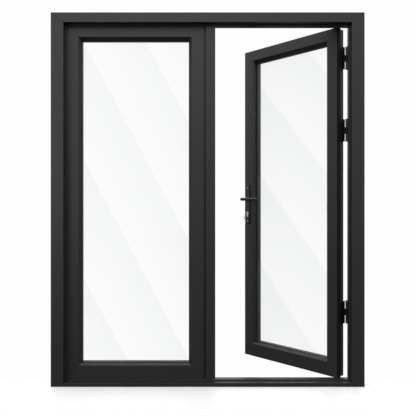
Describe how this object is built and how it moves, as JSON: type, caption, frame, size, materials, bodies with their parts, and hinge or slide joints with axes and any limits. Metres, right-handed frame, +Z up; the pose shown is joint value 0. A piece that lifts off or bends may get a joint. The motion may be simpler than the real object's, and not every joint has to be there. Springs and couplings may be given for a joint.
{
  "type": "french doors",
  "caption": "Outward-opening dark aluminium french doors in their frame: two glazed leaves on barrel hinges, one standing open, with lever, outside pull, key lock and shoot bolts.",
  "frame": {"origin": "middle of the threshold's underside, halfway through the frame's depth", "axes": "+X to the right seen from the room, +Y outwards, the way both leaves open, +Z up"},
  "size_m": [1.76, 0.7304, 2.1],
  "materials": {
    "dark_coat": "satin powder coat, near-black anthracite",
    "handle_coat": "satin black coat",
    "glass": "clear",
    "spacer_bar": "satin dark",
    "setting_block": "matte",
    "black_rubber": "matte",
    "black_plastic": "matte",
    "pale_plastic": "satin",
    "mill_aluminium": "mill",
    "hinge_steel": "satin",
    "lock_steel": "brushed",
    "key_nickel": "polished nickel"
  },
  "bodies": {
    "frame": {"jamb_left": "dark_coat", "jamb_right": "dark_coat", "head": "dark_coat", "threshold": "dark_coat", "frame_seal": "black_rubber", "shoot_bolt_keeps": "lock_steel", "frame_corner_cleats": "mill_aluminium", "hinge_frame_wings_right": "hinge_steel", "hinge_frame_wings_left": "hinge_steel", "hinge_pins": "hinge_steel", "hinge_frame_screws": "hinge_steel", "jamb_foot_plugs": "black_plastic"},
    "active_leaf": {"active_hinge_stile": "dark_coat", "active_lock_stile": "dark_coat", "active_top_rail": "dark_coat", "active_bottom_rail": "dark_coat", "active_glazing_beads": "dark_coat", "active_glass_panes": "glass", "active_glass_spacer": "spacer_bar", "active_glazing_gaskets": "black_rubber", "active_setting_blocks": "setting_block", "active_corner_cleats": "mill_aluminium", "active_hinge_wings": "hinge_steel", "active_hinge_bushes": "pale_plastic", "active_hinge_screws": "hinge_steel", "lock_case": "lock_steel", "lock_faceplate": "lock_steel", "handle_backplate_inside": "handle_coat", "handle_backplate_outside": "handle_coat", "pull_outside": "handle_coat", "handle_screws": "hinge_steel", "cylinder_body": "key_nickel"},
    "lever": {"lever_inside": "handle_coat", "handle_spindle": "lock_steel", "lock_follower": "lock_steel"},
    "latch": {"latch_bolt": "lock_steel"},
    "deadbolt": {"deadbolt": "lock_steel"},
    "key": {"cylinder_plug": "key_nickel", "key": "key_nickel"},
    "key_ring": {"key_ring": "key_nickel", "spare_key": "key_nickel"},
    "passive_leaf": {"passive_hinge_stile": "dark_coat", "passive_meeting_stile": "dark_coat", "passive_top_rail": "dark_coat", "passive_bottom_rail": "dark_coat", "passive_glazing_beads": "dark_coat", "passive_glass_panes": "glass", "passive_glass_spacer": "spacer_bar", "passive_glazing_gaskets": "black_rubber", "passive_setting_blocks": "setting_block", "passive_corner_cleats": "mill_aluminium", "passive_hinge_wings": "hinge_steel", "passive_hinge_bushes": "pale_plastic", "passive_hinge_screws": "hinge_steel", "floating_mullion": "dark_coat", "mullion_end_caps": "black_plastic", "mullion_seal": "black_rubber", "mullion_lock_keep": "lock_steel"},
    "top_bolt": {"shoot_bolt_top": "lock_steel"},
    "bottom_bolt": {"shoot_bolt_bottom": "lock_steel"}
  },
  "joints": [
    {"name": "active_leaf_hinge", "type": "hinge", "parent": "frame", "child": "active_leaf", "pos_m": [0.811, 0.079, 1], "axis": [0, 0, -1], "range_deg": [-50, 70]},
    {"name": "passive_leaf_hinge", "type": "hinge", "parent": "frame", "child": "passive_leaf", "pos_m": [-0.811, 0.079, 1], "axis": [0, 0, 1], "range_deg": [0, 120]},
    {"name": "lever_turn", "type": "hinge", "parent": "active_leaf", "child": "lever", "pos_m": [0.22567, 0.55254, 1.061], "axis": [0.766, 0.6428, 0], "range_deg": [0, 45], "stiffness_Nm_per_rad": 2, "springref_deg": -22.92},
    {"name": "latch_slide", "type": "slide", "parent": "active_leaf", "child": "latch", "axis": [0.6428, -0.766, 0], "range_m": [0, 0.012]},
    {"name": "key_turn", "type": "hinge", "parent": "active_leaf", "child": "key", "pos_m": [0.2498, 0.57279, 0.969], "axis": [0.766, 0.6428, 0], "range_deg": [0, 360]},
    {"name": "deadbolt_slide", "type": "slide", "parent": "active_leaf", "child": "deadbolt", "axis": [-0.6428, 0.766, 0], "range_m": [0, 0.02]},
    {"name": "key_ring_swing", "type": "hinge", "parent": "key", "child": "key_ring", "pos_m": [0.2498, 0.57279, 0.969], "axis": [-0.6428, 0.766, 0], "range_deg": [0, 60]},
    {"name": "top_bolt_slide", "type": "slide", "parent": "passive_leaf", "child": "top_bolt", "axis": [0, 0, 1], "range_m": [0, 0.018]},
    {"name": "bottom_bolt_slide", "type": "slide", "parent": "passive_leaf", "child": "bottom_bolt", "axis": [0, 0, -1], "range_m": [0, 0.018]}
  ],
  "couplings": [
    {"joint": "latch_slide", "follows": "lever_turn", "m_per_rad": 0.01527},
    {"joint": "key_turn", "follows": "deadbolt_slide", "rad_per_m": 314.16}
  ]
}
